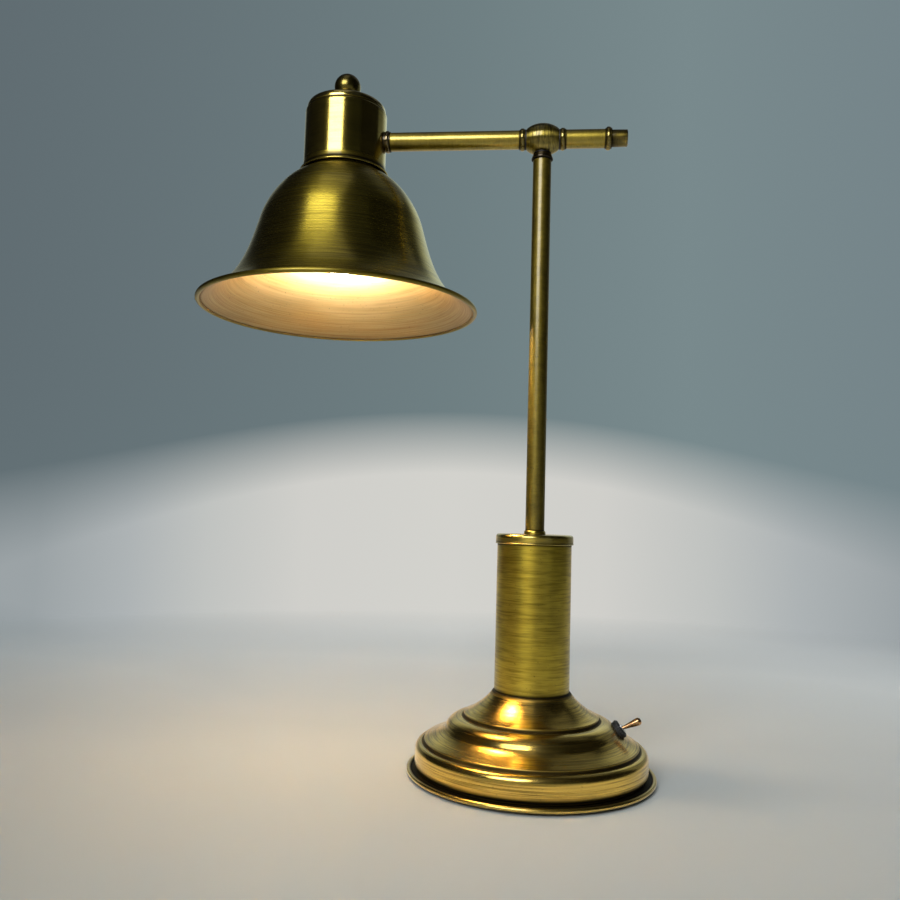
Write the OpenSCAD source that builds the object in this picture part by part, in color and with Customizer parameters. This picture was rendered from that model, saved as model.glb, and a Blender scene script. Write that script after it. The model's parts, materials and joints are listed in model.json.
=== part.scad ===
// Pharmacy-style desk lamp: weighted three-tier base, column, post, ball tee with a
// turning cross arm, socket cup and bell shade. Millimetres, +Z up. The origin is the
// underside of the felt on the post axis; the shade hangs towards -X.

/* [Base] */
// Diameter over the rolled rim of the base pan
base_d = 158.8; // [158:0.2:162]
// Diameter of the upright skirt of the base cover
skirt_d = 148.8; // [147.4:0.2:149.6]
// Height of the flat top of the base cover
cover_top = 52.6; // [51:0.2:55]
// Radius of the upper step, between the first and second tiers
step_1_r = 44.1; // [43:0.1:45]
// Height of the upper step, at its middle
step_1_z = 37.0; // [36:0.1:38]
// Radius of the lower step, between the second and third tiers
step_2_r = 69.4; // [69:0.1:70]
// Height of the lower step, at its middle
step_2_z = 20.7; // [20:0.1:22]
// Thickness of the felt pad
felt_t = 1.7; // [1.5:0.1:2]

/* [Column and post] */
// Diameter of the column tube
column_d = 48.5; // [46:0.5:50]
// Length of the column tube
column_len = 99.6; // [90:0.2:110]
// Diameter of the post and arm tubes
tube_d = 12.5; // [12:0.1:13]
// Wall of the post and arm tubes
tube_t = 1; // [0.9:0.05:1.1]
// Height of the arm axis above the table
arm_z = 422.3; // [410:0.1:440]

/* [Arm and ball tee] */
// Distance from the post axis to the shade axis
reach = 137.4; // [125:0.1:150]
// Distance from the post axis to the far end of the tail
tail_len = 57; // [54:0.5:62]
// Radius of the ball across the arm
ball_r = 10.75; // [10.5:0.05:11]
// Half of the ball's length between its faces
ball_half = 10.9; // [10.7:0.1:11.2]
// Radial clearance of the turning fits
run_gap = 0.05; // [0.02:0.01:0.08]

/* [Cup and shade] */
// Outside diameter of the socket cup
cup_d = 56.8; // [56:0.2:58]
// Height of the cup's flat top above the arm axis
cup_rise = 20.7; // [20:0.1:21]
// Diameter of the shade over its rolled rim
shade_d = 190.6; // [184:0.2:196]
// Height from the shade's rim to its mounting flange
shade_h = 96.7; // [94:0.1:98]
// Diameter of the ball on the finial
finial_d = 18.4; // [17:0.2:20]

/* [Bulb] */
// Diameter of the bulb
bulb_d = 55; // [50:1:60]
// Length of the bulb from its contact to its lowest point
bulb_len = 93; // [92:0.1:98]

/* [Switch] */
// Angle of the switch round the base, from +X towards +Y
switch_az = 0; // [-8:1:8]
// Full throw of the toggle lever in degrees
toggle_throw = 26; // [20:1:28]

/* [Hidden] */
$fn = 96;

// Sheets and walls
sheet_t = 1.2;              // spun base cover, column and cap
drawn_t = 1.0;              // socket cup, lid and shade
pan_t = 1.5;                // base pan plate
pan_top = felt_t + pan_t;

// Base
rim_bead_r = 1.4;
rim_r = base_d / 2 - rim_bead_r;
rim_z = felt_t + 1.1;
skirt_r = skirt_d / 2;
skirt_low = 8.5;            // where the skirt starts to tuck in
tuck_r = skirt_r - 2.9;     // where the cover stands on the pan
step_up = 1.2;              // edge of a tier above the middle of its step
step_down = 1;              // foot of the step below its middle
step_lap = 1.1;             // start of the next tier, outwards of the step
weight_r = 64;
weight_top = 11.5;
hub_r = 24;
hub_top = 26;
well_r = 13;                // recess for the lower nut
well_top = 22;
channel_w = 10;
channel_top = 9.5;
notch_w = 19;
notch_y = 44;
screw_ring_r = 45;
screw_angles = [30, 150, 270];
screw_r = 2;
screw_len = 8;
bush_z = 11.2;              // axis of the cable bush
bush_hole_r = 4.6;
bush_bore_r = 3.3;
terminal_y = 46;            // front face of the terminal block

// Tie rod, M10
rod_r = 5;
rod_bore_r = 3.5;
rod_hole_r = 5.3;
rod_low = 13.5;
rod_high = 170;
rod_nut_af = 17;
rod_nut_t = 5.4;
rod_washer_t = 1.6;

// Column and post
column_r = column_d / 2;
column_top = cover_top + column_len;
cap_r = column_r + 1.1;
cap_skirt = 6.4;
cap_top = column_top + sheet_t;
ring_h = 2.6;
tube_r = tube_d / 2;
bore_r = tube_r - tube_t;
post_low = cap_top + ring_h;

// Ball tee and what it turns on
ball_long = 14.5;           // half axis of the ball's outline along the arm
seat_z = arm_z - 9.7;       // flat under the ball
washer_gap = 0.1;
swivel_washer_t = 0.5;
collar_top = seat_z - washer_gap - swivel_washer_t;
collar_h = 4.7;
post_top = collar_top - collar_h;
stud_r = 4;
stud_bore_r = 2.6;
stud_top = arm_z - tube_r - run_gap - 0.1;
dog_z = seat_z + 1.4;
dog_r = 0.7;
dog_screw_r = 1.3;
groove_floor_r = 3.4;

// Arm
bead_r = 7.5;
shoulder_r = 6.8;
arm_collar_w = 3.9;
arm_washer_t = 0.7;
arm_washer_x = ball_half + washer_gap;
arm_collar_x = arm_washer_x + arm_washer_t;
tail_bead_w = 4.3;
tail_bead_r = 7.75;
plug_r = 5.65;
plug_len = 10.5;
tail_x = tail_len - plug_len - tail_bead_w;
cup_bead_w = 3.7;
window_half = 4.5;

// Cup, lampholder and shade, as heights on the shade axis
cup_r = cup_d / 2;
cup_in_r = cup_r - drawn_t;
cup_top = arm_z + cup_rise;
cup_under = cup_top - sheet_t;
lip_z = cup_top - 43.9;
lip_r = cup_r + 2.3;
lip_bead_r = 0.6;
lip_flare_h = 2.6;
lid_h = 6;
lid_top = cup_top + lid_h;
lid_r = cup_r - 0.9;
finial_r = finial_d / 2;
finial_ball_z = lid_top + 13.6;
flange_z = cup_top - 43.1;  // top of the shade's mounting flange
rim_low_z = flange_z - shade_h;
shade_bead_r = 1.6;
neck_r = 26.6;              // neck of the shade, inside the cup's mouth
waist_r = 55.9;             // shade where the crown turns into the skirt
waist_drop = 37.9;
arm_end_x = -reach + cup_r + cup_bead_w;
nut_face = 25;              // distance of the saddle washer's flat from the shade axis
cup_nut_t = 3;
nipple_r = 4;
nipple_bore_r = 2.8;
holder_r = 18;
thread_r = 20;
holder_low = flange_z - 13.9;
holder_top = cup_top - 17;
shell_r = 14;
contact_z = holder_top - 2.5;
contact_t = 1.6;
bulb_top = contact_z - contact_t;
bulb_r = bulb_d / 2;
bulb_ball_z = bulb_top - bulb_len + bulb_r;
bulb_cap_r = 13.1;
bulb_cap_low = bulb_top - 25.9;
glass_t = 0.7;

// Switch, in its own frame: +Z out of the cover, +X down the slope
switch_r = 55.9;
switch_z = 30.8;
switch_slope = 52;          // tilt of the switch axis from upright
switch_bush_r = 4;
switch_nut_r = 6.1;
switch_nut_t = 2.4;
switch_deep = 5;            // top of the switch body below the nut's seat
switch_body_h = 13;
blade_len = 3;
blade_y = 3;
lever_ball_r = 2.2;
lever_len = 15.5;           // from the middle of its ball, where it turns

// Leads
riser_r = 1.8;
riser_z = pan_top + riser_r + 0.1;
switch_lead_r = 1;

brass = "#8a7434";
steel = "#b9bcc0";
black = "#1c1b1a";

// ---- Outlines ----

function arc(c, r, a0, a1, n = 10) =
    [for (i = [0:n]) let (a = a0 + (a1 - a0) * i / n) c + r * [cos(a), sin(a)]];

function curve(p0, p1, p2, p3, n = 12) =
    [for (i = [0:n]) let (t = i / n, u = 1 - t)
        u * u * u * p0 + 3 * u * u * t * p1 + 3 * u * t * t * p2 + t * t * t * p3];

// The same line, moved by t to the right of its direction
function shifted(p, t) =
    [for (i = [0:len(p) - 1])
        let (d = p[min(i + 1, len(p) - 1)] - p[max(i - 1, 0)], n = norm(d))
        p[i] + t / n * [d[1], -d[0]]];

function reversed(p) = [for (i = [len(p) - 1:-1:0]) p[i]];

function tail_of(p) = [for (i = [1:len(p) - 1]) p[i]];

// A closed wall of thickness t that follows the line
function wall(p, t) = concat(p, reversed(shifted(p, t)));

// Outer line of the base cover, from the rod hole out and down. Each tier ends in an edge
// over an upright step, and the second breaks from its round shoulder into a hollow foot.
tier_2_break = [step_1_r + 11.1, step_1_z - 7.4];
tier_1 = curve([column_r + 1.35, cover_top - 0.7], [column_r + 3.65, cover_top - 4],
    [step_1_r - 9.6, step_1_z + 4.8], tier_edge(step_1_r, step_1_z));
tier_2_top = curve(tier_start(step_1_r, step_1_z), [step_1_r + 6.4, step_1_z - 1.2],
    tier_2_break + [-1.6, 3.6], tier_2_break);
tier_2_foot = curve(tier_2_break, tier_2_break + [1.8, -3.2],
    [step_2_r - 6.5, step_2_z + 3.7], tier_edge(step_2_r, step_2_z));
tier_3 = concat(
    curve(tier_start(step_2_r, step_2_z), [skirt_r - 1.5, step_2_z - 1.2],
        [skirt_r, step_2_z - 3.1], [skirt_r, step_2_z - 6]),
    curve([skirt_r, skirt_low], [skirt_r, skirt_low - 2.9],
        [skirt_r - 1.3, pan_top + 0.8], [tuck_r, pan_top], 8));
cover_head = concat([[rod_hole_r, cover_top]],
    arc([column_r + 0.05, cover_top - 1.6], 1.6, 90, 40, 4));

function tier_edge(r, z) = [r - 0.9, z + step_up];
function tier_start(r, z) = [r + step_lap, z - step_down];
function step_foot(r, z) = [[r - 0.5, z - step_down + 0.1], [r, z - step_down - 0.1]];

cover_line = concat(cover_head, tail_of(tier_1), step_foot(step_1_r, step_1_z),
    tier_2_top, tail_of(tier_2_foot), step_foot(step_2_r, step_2_z), tier_3);

// The inside runs behind and below each step at about the same wall thickness
function under_step(r, z) = [[r - 0.5 - sheet_t, z - step_down], [r - 0.7, z - step_down - sheet_t]];

cover_inside = concat(shifted(concat(cover_head, tail_of(tier_1)), sheet_t),
    under_step(step_1_r, step_1_z),
    shifted(concat(tier_2_top, tail_of(tier_2_foot)), sheet_t),
    under_step(step_2_r, step_2_z), shifted(tier_3, sheet_t));

// Outer line of the bell shade, from the mounting hole out and down to the rim
shade_line = let (z = flange_z, x = shade_d / 2 - shade_bead_r, low = rim_low_z) concat(
    [[thread_r + 0.15, z]], arc([neck_r - 1.4, z - 1.4], 1.4, 90, 0, 6),
    arc([neck_r + 1.6, z - 2.3], 1.6, 180, 262, 6),
    curve([31.2, z - 4], [41, z - 9.4], [waist_r - 4, z - 23.6], [waist_r, z - waist_drop], 16),
    tail_of(curve([waist_r, z - waist_drop], [waist_r + 5.8, z - waist_drop - 20.5],
        [68.5, low + 8.8], [x, low], 24)));

cup_line = concat([[rod_r, cup_top]], arc([cup_r - 1.8, cup_top - 1.8], 1.8, 90, 0, 8),
    curve([cup_r, lip_z + lip_flare_h], [cup_r, lip_z + 1.3], [cup_r + 0.7, lip_z + 0.6],
        [lip_r - lip_bead_r, lip_z + 0.45], 8));

lid_line = concat([[rod_r, lid_top]],
    curve([lid_r - 6.5, lid_top], [lid_r - 1.9, lid_top], [lid_r, lid_top - 1.6],
        [lid_r, cup_top + 0.9], 10), [[lid_r, cup_top]]);

// A round bead of the given width standing on a shoulder, along its axis
function bead(r, width, inner) = let (s = 0.55, w = width / 2 - s) concat(
    [[inner, 0], [shoulder_r, 0], [shoulder_r, s]],
    [for (a = [90:-15:-90]) [shoulder_r + (r - shoulder_r) * cos(a), s + w - w * sin(a)]],
    [[shoulder_r, width - s], [shoulder_r, width], [inner, width]]);

// ---- Building blocks ----

module ring(r_out, r_in, h) {
    difference() {
        cylinder(r = r_out, h = h);
        translate([0, 0, -1]) cylinder(r = r_in, h = h + 2);
    }
}

module hex_nut(flats, bore, h) {
    difference() {
        cylinder(d = flats / cos(30), h = h, $fn = 6);
        translate([0, 0, -1]) cylinder(r = bore, h = h + 2);
    }
}

module revolved(points) {
    rotate_extrude() polygon(points);
}

// Children are drawn along +X from the given x on the arm axis
module on_arm(x) {
    translate([x, 0, arm_z]) rotate([0, 90, 0]) children();
}

module on_shade_axis(z = 0) {
    translate([-reach, 0, z]) children();
}

module on_switch() {
    rotate([0, 0, switch_az]) translate([switch_r, 0, switch_z])
        rotate([0, switch_slope, 0]) children();
}

// The point at height h on the switch axis, moved by y to its side
function switch_point(h, y = 0) = let (x = switch_r + h * sin(switch_slope))
    [x * cos(switch_az) - y * sin(switch_az), x * sin(switch_az) + y * cos(switch_az),
        switch_z + h * cos(switch_slope)];

function rounded(p) = concat([p[0]],
    [for (i = [0:len(p) - 2]) each [0.75 * p[i] + 0.25 * p[i + 1], 0.25 * p[i] + 0.75 * p[i + 1]]],
    [p[len(p) - 1]]);

// A flexible lead along a route; across is a direction that the route never follows
module lead(route, r, across, sides = 8) {
    p = rounded(rounded(route));
    n = len(p);
    points = [for (i = [0:n - 1])
        let (d = p[min(i + 1, n - 1)] - p[max(i - 1, 0)],
             u = cross(across, d) / norm(cross(across, d)), v = cross(d, u) / norm(d))
        for (k = [0:sides - 1]) p[i] + r * (cos(360 * k / sides) * u + sin(360 * k / sides) * v)];
    skin = [for (i = [0:n - 2]) for (k = [0:sides - 1])
        let (a = i * sides, b = (k + 1) % sides) [a + k, a + b, a + sides + b, a + sides + k]];
    ends = [[for (k = [sides - 1:-1:0]) k], [for (k = [0:sides - 1]) (n - 1) * sides + k]];
    polyhedron(points, concat(skin, ends));
}

// ---- Base ----

module felt_pad() {
    color("#2e2f2b") cylinder(r = 74, h = felt_t);
}

module base_pan() {
    color(brass) difference() {
        union() {
            translate([0, 0, felt_t]) cylinder(r = rim_r, h = pan_t);
            rotate_extrude() translate([rim_r, rim_z]) circle(r = rim_bead_r, $fn = 32);
        }
        translate([0, 0, -1]) cylinder(r = 14, h = 10);
        at_pan_screws() countersunk();
    }
}

module at_pan_screws() {
    for (a = screw_angles) rotate([0, 0, a]) translate([screw_ring_r, 0, felt_t]) children();
}

module countersunk() {
    cylinder(r1 = 2 * screw_r, r2 = screw_r, h = pan_t);
    cylinder(r = screw_r, h = screw_len);
}

module pan_screws() {
    color(steel) at_pan_screws() difference() {
        countersunk();
        translate([0, 0, -0.1]) cylinder(r = 1.3, h = 1.3, $fn = 6);
    }
}

module base_weight() {
    line = [[rod_hole_r, well_top], [well_r, well_top], [well_r, pan_top],
        [weight_r - 1, pan_top], [weight_r, pan_top + 1], [weight_r, weight_top - 1.5],
        [weight_r - 1.5, weight_top], [hub_r + 2, weight_top], [hub_r, weight_top + 2],
        [hub_r, hub_top - 1], [hub_r - 1, hub_top], [rod_hole_r, hub_top]];
    color("#3a3c3e") difference() {
        revolved(line);
        translate([-channel_w / 2, 0, 0]) cube([channel_w, weight_r + 5, channel_top]);
        translate([-notch_w / 2, notch_y, 0]) cube([notch_w, weight_r, 2 * weight_top]);
        at_pan_screws() cylinder(r = screw_r, h = screw_len + 0.5);
    }
}

module base_cover() {
    color(brass) difference() {
        revolved(concat(cover_line, reversed(cover_inside)));
        on_switch() translate([0, 0, -6]) cylinder(r = switch_bush_r, h = 12);
        translate([0, skirt_r + 5, bush_z]) rotate([90, 0, 0])
            cylinder(r = bush_hole_r, h = 15);
    }
}

module rod_nut() {
    color(steel) translate([0, 0, well_top - rod_washer_t - rod_nut_t])
        hex_nut(rod_nut_af, rod_r, rod_nut_t);
}

module rod_washer() {
    color(steel) translate([0, 0, well_top - rod_washer_t]) ring(12, rod_hole_r, rod_washer_t);
}

module tie_rod() {
    color(steel) translate([0, 0, rod_low]) ring(rod_r, rod_bore_r, rod_high - rod_low);
}

module base_spacer() {
    color(steel) translate([0, 0, hub_top]) ring(9, rod_hole_r, cover_top - sheet_t - hub_top);
}

module terminal_block() {
    block = [16, 12, 8.5];
    pitch = 8;
    wire_r = 1.5;
    screw_hole_r = 1.7;
    color("#e6e2d4") translate([0, terminal_y, pan_top]) difference() {
        translate([-block[0] / 2, 0, 0]) cube(block);
        for (s = [-1, 1]) translate([s * pitch / 2, 0, 0]) {
            translate([0, -1, 4.6]) rotate([-90, 0, 0]) cylinder(r = wire_r, h = block[1] + 2);
            translate([0, block[1] / 2, 4]) cylinder(r = screw_hole_r, h = block[2]);
        }
    }
}

module cable_bush() {
    color(black) translate([0, skirt_r, bush_z]) rotate([-90, 0, 0]) difference() {
        union() {
            cylinder(r = bush_hole_r + 1, h = 1.5);
            translate([0, 0, -7]) cylinder(r = bush_hole_r, h = 7);
            translate([0, 0, -4.5]) cylinder(r1 = bush_hole_r, r2 = bush_hole_r + 0.8, h = 2.4);
        }
        translate([0, 0, -8]) cylinder(r = bush_bore_r, h = 12);
    }
}

module riser_lead() {
    entry = riser_z + 2.6;
    color("#d8c9a0") lead([[0, terminal_y - 0.1, entry], [0, terminal_y - 3, entry],
        [0, terminal_y - 9, riser_z], [0, 16, riser_z],
        [0, 0, riser_z], [0, 0, 22], [0, 0, 60], [0, 0, stud_top - 0.6]], riser_r, [1, 0, 0]);
}

// Each lead stops just short of its blade, in line with it
module switch_leads() {
    blade_end = -switch_deep - switch_body_h - blade_len;
    color(black) for (s = [-1, 1]) lead(concat(
        [[7 + s * 1.6, 47.5, 14], [14 + s * 1.6, 40, 14.5], [28.2 + s * 1.8, 24, 14],
            [34.2 + s * 2, 9, 14]],
        s < 0 ? [[33, 1, 14]] : [],
        [switch_point(blade_end - 4, s * blade_y), switch_point(blade_end - 0.4, s * blade_y)]),
        switch_lead_r, [0, 0.6, 1], 8);
}

// ---- Switch ----

module switch_body() {
    block = [10, 12.4, switch_body_h];
    color(black) on_switch() translate([0, 0, -switch_deep - switch_body_h]) {
        difference() {
            translate([-block[0] / 2, -block[1] / 2, 0]) cube(block);
            for (s = [-1, 1]) translate([-6, s * block[1] / 2, 4]) rotate([0, 90, 0])
                cylinder(r = 1, h = 12);
            translate([0, 0, 8]) cylinder(r = 3.4, h = 6);
        }
        for (s = [-1, 1]) translate([-1.5, s * blade_y - 0.4, -blade_len])
            cube([3, 0.8, blade_len]);
    }
}

module switch_bush() {
    top = switch_nut_t + 0.3;
    color(steel) on_switch() difference() {
        union() {
            translate([0, 0, -switch_deep]) cylinder(r = switch_bush_r, h = switch_deep + top);
            translate([0, 0, -switch_deep]) cylinder(r = 4.9, h = 1);
        }
        translate([0, 0, -6]) cylinder(r = lever_ball_r + run_gap, h = 12);
        translate([0, 0, top - 1.9]) cylinder(r1 = lever_ball_r + run_gap, r2 = 3.1, h = 2);
    }
}

// Follows the curved cover below and gives the nut a flat above
module switch_gasket() {
    color(black) difference() {
        on_switch() translate([0, 0, -2.4]) ring(switch_nut_r - 0.3, switch_bush_r, 2.4);
        rotate_extrude($fn = 720) polygon(concat([[0, tier_2_top[0][1]]], tier_2_top,
            tail_of(tier_2_foot), [[step_2_r, pan_top], [0, pan_top]]));
    }
}

module switch_nut() {
    color(black) on_switch() difference() {
        rotate_extrude() polygon([[switch_bush_r, 0], [switch_nut_r - 0.4, 0], [switch_nut_r, 0.4],
            [switch_nut_r, switch_nut_t - 1], [switch_nut_r - 1, switch_nut_t],
            [switch_bush_r, switch_nut_t]]);
        for (a = [0:15:345]) rotate([0, 0, a]) translate([switch_nut_r + 0.35, 0, -1])
            cylinder(r = 0.6, h = switch_nut_t + 2, $fn = 16);
    }
}

module switch_lever() {
    line = concat([[0, -2.8], [0.8, -2.8], [0.9, -1.9]],
        [for (a = [-62:12.4:62]) lever_ball_r * [cos(a), sin(a)]],
        curve([1.1, 3], [1.2, 6], [2.1, 9], [2.5, lever_len - 2.2], 8),
        arc([0.3, lever_len - 2.2], 2.2, 0, 90, 8), [[0, lever_len]]);
    color(brass) on_switch() rotate([0, toggle_throw / 2, 0]) revolved(line);
}

// ---- Column and post ----

module column_seat() {
    color(steel) translate([0, 0, cover_top]) difference() {
        cylinder(r = column_r - sheet_t, h = 5);
        translate([0, 0, -1]) cylinder(r = rod_hole_r, h = 8);
        translate([0, 0, 2]) ring(column_r - sheet_t - 2, 9, 4);
    }
}

module column_tube() {
    color(brass) translate([0, 0, cover_top]) ring(column_r, column_r - sheet_t, column_len);
}

module column_cap() {
    line = concat([[rod_hole_r, cap_top]], arc([cap_r - 2, cap_top - 2], 2, 90, 0, 8),
        arc([cap_r - 0.05, cap_top - cap_skirt + 0.45], 0.45, 90, -90, 6));
    inside = [[column_r, cap_top - cap_skirt], [column_r, column_top], [rod_hole_r, column_top]];
    color(brass) revolved(concat(line, inside));
}

module post_foot_ring() {
    color(brass) translate([0, 0, cap_top]) revolved(concat([[rod_r, 0], [7.1, 0], [7.1, 0.6]],
        curve([7.1, 0.6], [7.1, 1.7], [6.9, 2.2], [6.3, ring_h], 6), [[rod_r, ring_h]]));
}

module post_tube() {
    color(brass) difference() {
        translate([0, 0, post_low]) cylinder(r = tube_r, h = post_top - post_low);
        translate([0, 0, post_low - 1]) cylinder(r = rod_r, h = rod_high - post_low + 1);
        translate([0, 0, rod_high]) cylinder(r = bore_r, h = post_top - rod_high + 1);
    }
}

module swivel_stud() {
    spigot = 14;
    color(steel) revolved([[stud_bore_r, post_top - spigot], [bore_r, post_top - spigot],
        [bore_r, post_top], [stud_r, post_top], [stud_r, dog_z - 0.8],
        [groove_floor_r, dog_z - 0.8], [groove_floor_r, dog_z + 0.8], [stud_r, dog_z + 0.8],
        [stud_r, stud_top - 0.2], [stud_r - 0.2, stud_top], [stud_bore_r, stud_top]]);
}

module post_collar() {
    color(brass) translate([0, 0, post_top]) revolved(concat([[stud_r, 0], [6.7, 0]],
        arc([6.35, 1.05], 1.05, -60, 40, 6),
        curve([7.12, 1.9], [6.9, 2.9], [6.4, 3.6], [6.1, collar_h], 6), [[stud_r, collar_h]]));
}

module swivel_washer() {
    color(black) translate([0, 0, collar_top]) ring(5.8, stud_r, swivel_washer_t);
}

// ---- Tee ----

module ball_tee() {
    edge = asin(ball_half / ball_long);
    line = [for (i = [-16:16]) let (a = edge * i / 16) [ball_r * cos(a), ball_long * sin(a)]];
    color(brass) difference() {
        on_arm(0) revolved(concat([[0, -ball_half]], line, [[0, ball_half]]));
        on_arm(-20) cylinder(r = tube_r + run_gap, h = 40);
        translate([0, 0, arm_z - 20]) cylinder(r = stud_r + run_gap, h = 20);
        translate([-10, -10, seat_z - 5]) cube([20, 20, 5]);
        translate([0, 3, dog_z]) rotate([-90, 0, 0]) cylinder(r = dog_screw_r, h = 8);
    }
}

module tee_dog_screw() {
    color(steel) translate([0, 0, dog_z]) rotate([-90, 0, 0]) difference() {
        union() {
            translate([0, 0, groove_floor_r + 0.1]) cylinder(r = dog_r, h = 1.5);
            translate([0, 0, stud_r + 0.4]) cylinder(r = dog_screw_r, h = 2.1);
        }
        translate([0, 0, stud_r + 1.5]) cylinder(r = 0.75, h = 2, $fn = 6);
    }
}

// ---- Arm ----

module arm_tube() {
    color(brass) difference() {
        on_arm(arm_end_x) ring(tube_r, bore_r, tail_x - arm_end_x);
        translate([-window_half, -tube_r - 1, arm_z - tube_r - 1])
            cube([2 * window_half, tube_d + 2, tube_r + 1.5]);
    }
}

module arm_collar_left() {
    color(brass) on_arm(-arm_collar_x - arm_collar_w) revolved(bead(bead_r, arm_collar_w, tube_r));
}

module arm_collar_right() {
    color(brass) on_arm(arm_collar_x) revolved(bead(bead_r, arm_collar_w, tube_r));
}

module friction_washer_left() {
    color(black) on_arm(-arm_collar_x) ring(shoulder_r - 0.2, tube_r, arm_washer_t);
}

module friction_washer_right() {
    color(black) on_arm(arm_washer_x) ring(shoulder_r - 0.2, tube_r, arm_washer_t);
}

module tail_bead() {
    color(brass) on_arm(tail_x) revolved(bead(tail_bead_r, tail_bead_w, nipple_r));
}

module tail_plug() {
    spigot = 12;
    color(brass) on_arm(tail_x) revolved([[0, -spigot], [bore_r, -spigot], [bore_r, 0],
        [nipple_r, 0], [nipple_r, tail_bead_w], [plug_r, tail_bead_w],
        [plug_r, tail_bead_w + plug_len - 0.5], [plug_r - 0.5, tail_bead_w + plug_len],
        [0, tail_bead_w + plug_len]]);
}

// The neck behind the bead is cut to the round wall of the cup
module cup_collar() {
    neck = 2;
    color(brass) difference() {
        union() {
            on_arm(arm_end_x - cup_bead_w) revolved(bead(bead_r, cup_bead_w, nipple_r));
            on_arm(arm_end_x - cup_bead_w - neck) ring(shoulder_r, nipple_r, neck + 0.2);
        }
        on_shade_axis(arm_z - 20) cylinder(r = cup_r, h = 40);
    }
}

module cup_nipple() {
    spigot = 11;
    inner_end = arm_end_x + reach - nut_face + cup_nut_t + 0.2;
    color(steel) on_arm(arm_end_x) rotate([0, 180, 0]) revolved([[nipple_bore_r, -spigot],
        [bore_r, -spigot], [bore_r, 0], [nipple_r, 0], [nipple_r, inner_end],
        [nipple_bore_r, inner_end]]);
}

module saddle_washer() {
    color(steel) difference() {
        intersection() {
            on_arm(-reach + nut_face) cylinder(r = 7.6, h = 6);
            on_shade_axis(arm_z - 10) cylinder(r = cup_in_r, h = 20);
        }
        on_arm(-reach + nut_face - 1) cylinder(r = nipple_r, h = 10);
    }
}

module cup_nut() {
    color(steel) on_arm(-reach + nut_face - cup_nut_t) hex_nut(13, nipple_r, cup_nut_t);
}

module arm_lead() {
    x = -reach + 20.1;
    color("#d8c9a0") lead([[-3, 0, arm_z], [-60, 0, arm_z], [x + 8, 0, arm_z], [x + 3, 0, arm_z],
        [x, 0, arm_z], [x, 0, arm_z + 5], [x, 0, holder_top + 7], [x - 5.2, 0, holder_top + 7]],
        1.6, [0, 1, 0]);
}

// ---- Cup, lid and finial ----

module socket_cup() {
    color(brass) difference() {
        on_shade_axis() union() {
            revolved(wall(cup_line, drawn_t));
            rotate_extrude() translate([lip_r - lip_bead_r, lip_z]) circle(r = lip_bead_r, $fn = 24);
        }
        on_arm(-reach + 15) cylinder(r = nipple_r, h = 20);
    }
}

module cup_lid() {
    color(brass) on_shade_axis() revolved(wall(lid_line, drawn_t));
}

module finial() {
    z = finial_ball_z - lid_top;
    neck = 5.4;
    low = -acos(neck / finial_r);
    color(brass) on_shade_axis(lid_top) difference() {
        revolved(concat([[0, 0], [8, 0], [8, 1.2]],
            curve([7.4, 1.7], [6.2, 2.6], [5.6, 4.6], [neck, z + finial_r * sin(low)], 8),
            [for (i = [1:18]) let (a = low + (90 - low) * i / 18)
                [finial_r * cos(a), z + finial_r * sin(a)]]));
        translate([0, 0, -1]) cylinder(r = rod_r, h = 5);
    }
}

module top_nipple() {
    low = cup_under - 3.5;
    color(steel) on_shade_axis(low) ring(rod_r, rod_bore_r, lid_top + 3.8 - low);
}

// ---- Lampholder ----

module holder_cap() {
    rise = cup_under - holder_top;
    color("#20201e") difference() {
        on_shade_axis(holder_top) revolved(concat(
            [[rod_r, rise], [7.5, rise], [7.5, rise - 1.2]],
            curve([7.5, rise - 1.2], [13, rise - 2.4], [holder_r, 9.6], [holder_r, 4], 8),
            [[holder_r, 0], [holder_r - 2, 0]],
            curve([holder_r - 2, 3.5], [holder_r - 2, 8], [11.5, rise - 4.4], [6.5, rise - 3.5], 8),
            [[rod_r, rise - 3.5]]));
        translate([-reach + 10, 0, holder_top + 7]) rotate([0, 90, 0]) cylinder(r = 1.9, h = 12);
    }
}

module holder_body() {
    color("#20201e") on_shade_axis() difference() {
        revolved([[0, contact_z], [15, contact_z], [15, flange_z + 5.1], [17.6, flange_z + 4],
            [17.6, holder_low], [thread_r, holder_low], [thread_r, flange_z], [23, flange_z],
            [23, flange_z + 3], [holder_r, flange_z + 3], [holder_r, holder_top],
            [0, holder_top]]);
        translate([0, 0, contact_z - 1]) cylinder(r = 1.5, h = 6);
    }
}

module screw_shell() {
    color("#c9b675") on_shade_axis() revolved([[9, contact_z], [shell_r, contact_z],
        [shell_r, flange_z + 6], [shell_r - 0.5, flange_z + 6], [shell_r - 0.5, contact_z - 0.6],
        [9, contact_z - 0.6]]);
}

module centre_contact() {
    color("#c9b675") on_shade_axis() {
        translate([0, 0, contact_z - contact_t]) cylinder(r = 3.6, h = contact_t);
        translate([0, 0, contact_z - 0.2]) cylinder(r = 1.5, h = 2.7);
    }
}

module shade_ring() {
    h = 4;
    color("#20201e") on_shade_axis(flange_z - drawn_t - h) difference() {
        ring(25, thread_r, h);
        for (a = [0:30:330]) rotate([0, 0, a]) translate([24.4, -1.5, -1]) cube([3, 3, h + 2]);
    }
}

module shade() {
    color(brass) on_shade_axis() union() {
        revolved(wall(shade_line, drawn_t));
        rotate_extrude() translate([shade_d / 2 - shade_bead_r, rim_low_z])
            circle(r = shade_bead_r, $fn = 32);
    }
}

// ---- Bulb ----

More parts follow.
